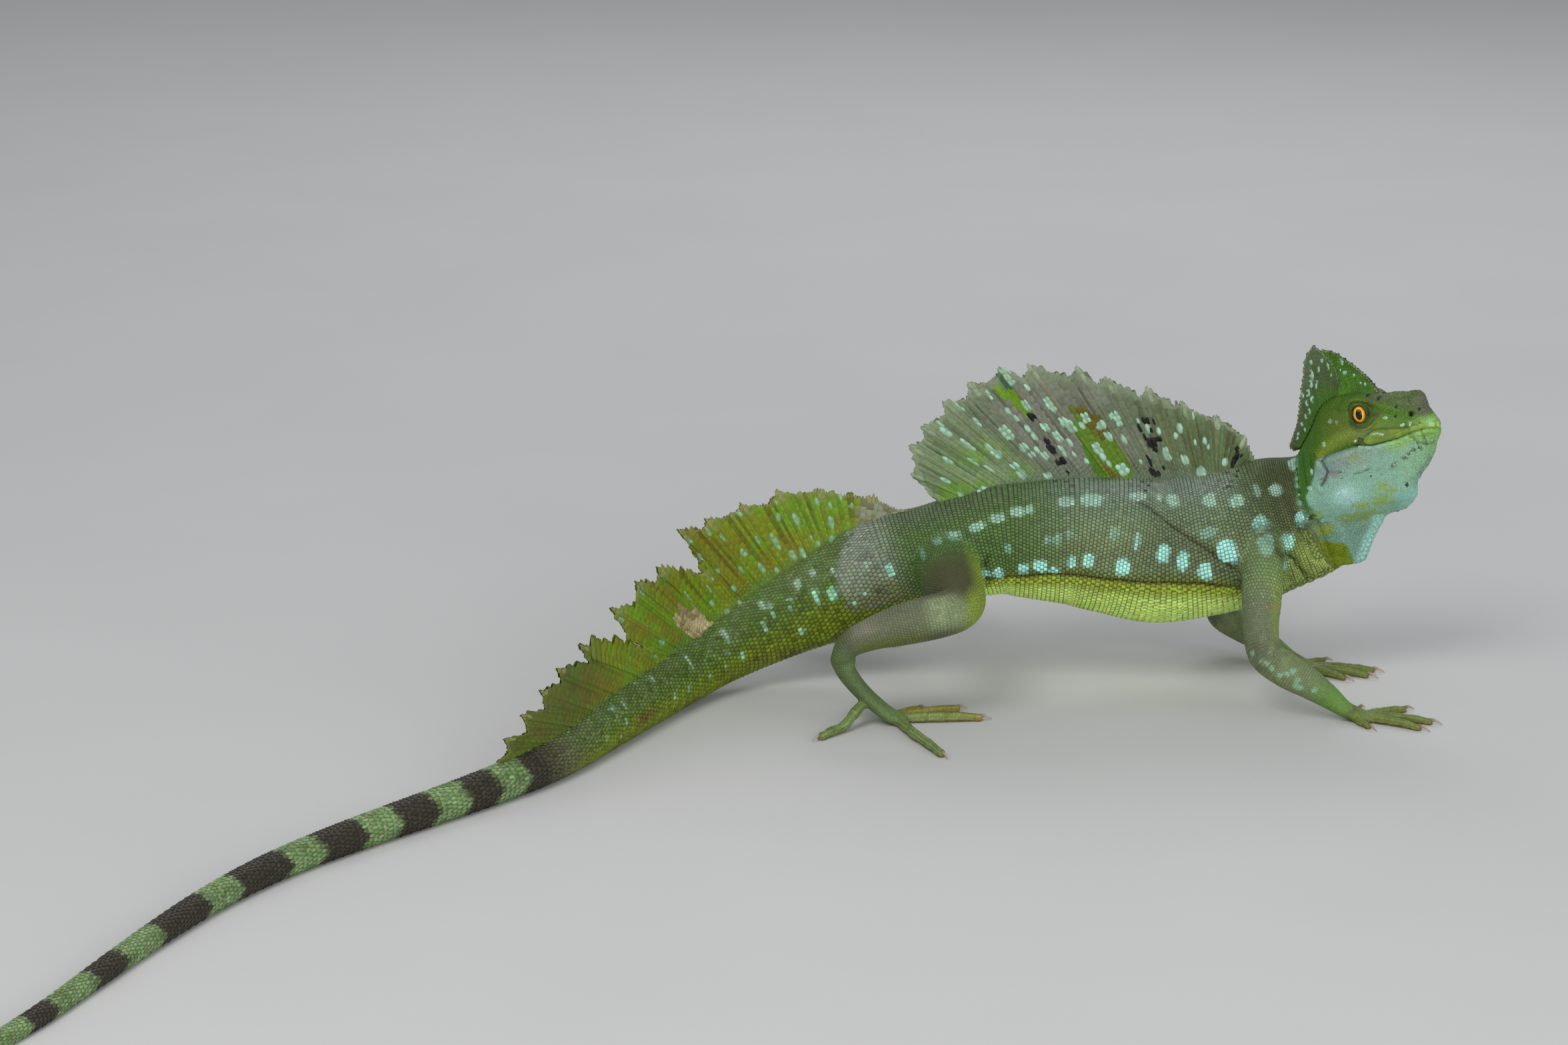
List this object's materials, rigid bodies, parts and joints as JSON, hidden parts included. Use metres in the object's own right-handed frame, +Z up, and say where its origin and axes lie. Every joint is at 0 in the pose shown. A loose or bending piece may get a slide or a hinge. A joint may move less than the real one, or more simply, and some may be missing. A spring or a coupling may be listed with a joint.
{
  "type": "green basilisk lizard figure",
  "caption": "Adult male green plumed basilisk lizard, life size, standing still with raised head, fan-like fins on head, back and tail, and its long tail curving along the floor.",
  "frame": {"origin": "middle of the bounding box in plan, at the level of the soles and of the tail's underside", "axes": "+X the way the body faces, from hips to shoulders, +Y to the animal's left, +Z up"},
  "size_m": [0.473, 0.4468, 0.1151],
  "materials": {
    "skin_head": "fine scaly skin, satin",
    "skin_throat": "beaded scaly skin, satin",
    "skin_body": "rows of small keeled scales, satin",
    "skin_limb": "small scales, satin",
    "skin_tail": "keeled scales, satin",
    "tail_bands": "keeled scales in dark and pale green bands, satin",
    "fin_grey": "thin scaly membrane, satin",
    "fin_olive": "thin scaly membrane, satin",
    "crest_green": "thin scaly membrane, satin",
    "eye": "wet gloss"
  },
  "bodies": {
    "root": {"head": "skin_head", "dewlap": "skin_throat", "crest_front": "crest_green", "crest_rear": "fin_grey", "eye_R": "eye", "eye_L": "eye", "neck": "skin_body", "trunk": "skin_body", "tail_1": "skin_tail", "tail_2": "skin_tail", "tail_3": "tail_bands", "tail_4": "tail_bands", "sail_back": "fin_grey", "sail_tail": "fin_olive", "arm_upper_R": "skin_body", "forearm_R": "skin_limb", "hand_R": "skin_limb", "thigh_R": "skin_body", "shin_R": "skin_body", "foot_R": "skin_limb", "arm_upper_L": "skin_body", "forearm_L": "skin_limb", "hand_L": "skin_limb", "thigh_L": "skin_body", "shin_L": "skin_body", "foot_L": "skin_limb"}
  },
  "joints": []
}
